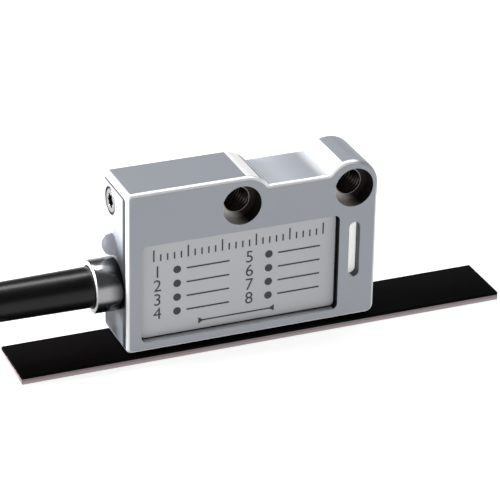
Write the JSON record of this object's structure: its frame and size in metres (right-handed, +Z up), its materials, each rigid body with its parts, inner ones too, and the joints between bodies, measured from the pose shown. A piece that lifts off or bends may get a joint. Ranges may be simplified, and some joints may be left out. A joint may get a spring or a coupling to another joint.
{
  "type": "magnetic linear position sensor",
  "caption": "Magnetic linear position sensor: a flat metal read head with a side cable and mounting holes, held just above a flexible magnetic scale strip.",
  "frame": {"origin": "middle of the scale strip's underside, with the head a little to the left of it", "axes": "+X along the strip, away from the cable; +Y to the head's rear mounting face; +Z up"},
  "size_m": [0.1882, 0.0428, 0.0278],
  "materials": {
    "housing_alloy": "fine blasted, clear anodised",
    "cover_alloy": "matte, laser marked",
    "seal_rubber": "matte",
    "marker_white": "matte",
    "board_laminate": "solder mask over glass laminate",
    "chip_black": "moulded",
    "capacitor_tan": "fired ceramic",
    "screw_steel": "turned stainless steel",
    "lamp_grey": "smoked lens",
    "tinned_wire": "tinned",
    "ferrule_nickel": "polished nickel plate",
    "crimp_brass": "drawn",
    "relief_rubber": "moulded, satin",
    "core_sheath": "extruded",
    "cable_jacket": "extruded polyurethane, satin",
    "tie_nylon": "moulded",
    "magnet_black": "calendered ferrite-filled rubber",
    "carrier_steel": "rolled, slit edge",
    "adhesive_grey": "foam tape",
    "liner_paper": "waxed",
    "sheath_red": "extruded",
    "sheath_black": "extruded",
    "sheath_green": "extruded",
    "sheath_white": "extruded",
    "sheath_yellow": "extruded",
    "sheath_violet": "extruded",
    "sheath_blue": "extruded",
    "sheath_brown": "extruded"
  },
  "bodies": {
    "read_head": {"housing": "housing_alloy", "cover_plate": "cover_alloy", "side_screw": "screw_steel", "signal_lamp": "lamp_grey", "cable_ferrule": "ferrule_nickel", "cover_seal": "seal_rubber", "marker_inlay": "marker_white", "circuit_board": "board_laminate", "interpolator_chip": "chip_black", "line_driver_chip": "chip_black", "voltage_regulator": "chip_black", "field_sensors": "chip_black", "capacitors": "capacitor_tan", "resistors": "chip_black", "lamp_legs": "tinned_wire", "crimp_ring": "crimp_brass", "inner_cores": "core_sheath", "bend_relief": "relief_rubber", "cable": "cable_jacket", "cable_hank": "cable_jacket", "hank_ties": "tie_nylon", "cable_tail": "cable_jacket", "lead_red": "sheath_red", "lead_black": "sheath_black", "lead_green": "sheath_green", "lead_white": "sheath_white", "lead_yellow": "sheath_yellow", "lead_violet": "sheath_violet", "lead_blue": "sheath_blue", "lead_brown": "sheath_brown", "lead_tips": "tinned_wire"},
    "scale_strip": {"release_liner": "liner_paper", "adhesive_layer": "adhesive_grey", "carrier_band": "carrier_steel", "magnetic_layer": "magnet_black"}
  },
  "joints": [
    {"name": "strip_slide", "type": "slide", "parent": "read_head", "child": "scale_strip", "axis": [1, 0, 0], "range_m": [-0.0205, 0.0155]}
  ]
}
